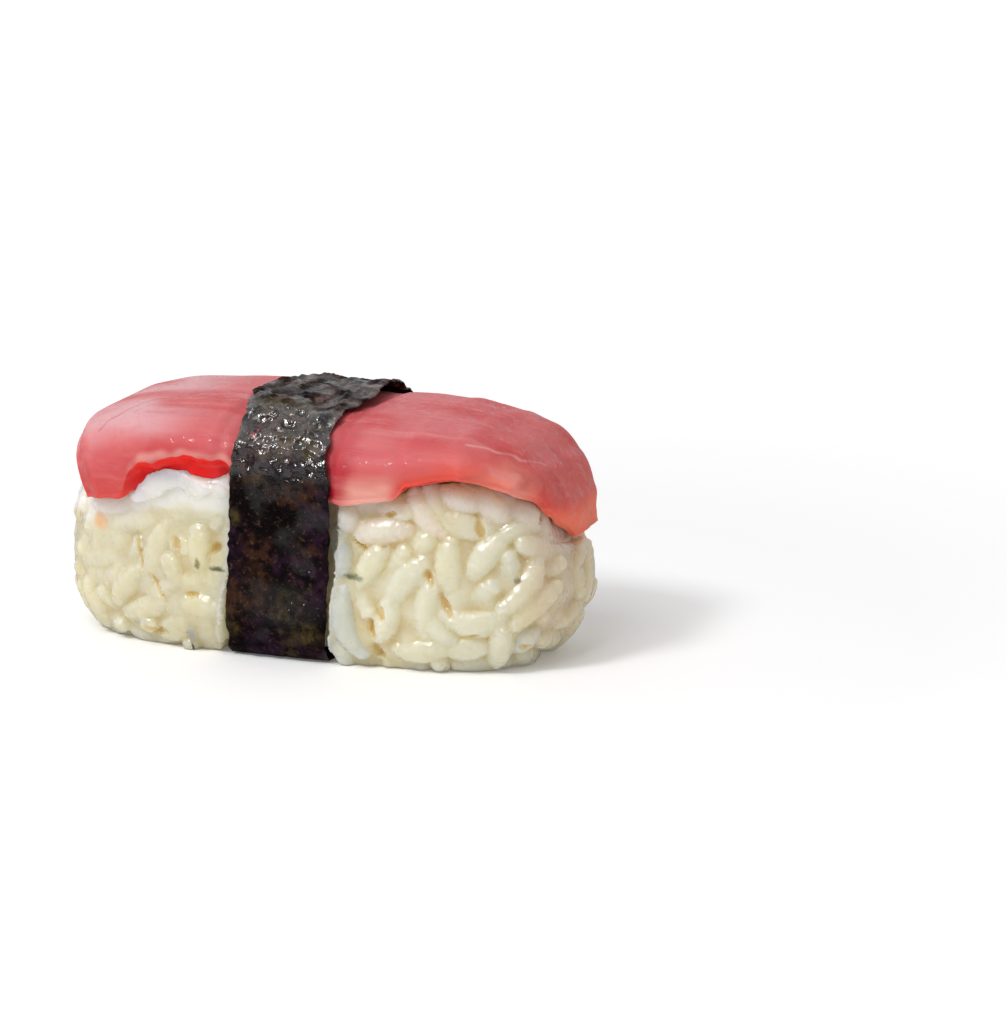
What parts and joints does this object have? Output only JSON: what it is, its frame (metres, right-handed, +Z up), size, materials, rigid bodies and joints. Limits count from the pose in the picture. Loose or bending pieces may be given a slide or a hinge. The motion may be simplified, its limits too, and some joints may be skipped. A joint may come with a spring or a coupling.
{
  "type": "tuna nigiri sushi",
  "caption": "Oblong block of pressed rice under a draped slice of raw tuna, with a dark seaweed strip wrapped round the middle; a bite of prepared food.",
  "frame": {"origin": "centre of the foot, on the flat underside of the seaweed strip, on the table", "axes": "+X along the piece towards the end where the tuna droops, -Y towards the front, +Z up"},
  "size_m": [0.0557, 0.027, 0.0256],
  "materials": {
    "rice": "moist, slightly glossy cooked rice",
    "tuna": "moist raw fish, soft sheen",
    "nori": "crinkled dried seaweed, damp sheen"
  },
  "bodies": {
    "root": {"rice": "rice", "tuna": "tuna", "nori": "nori"}
  },
  "joints": []
}
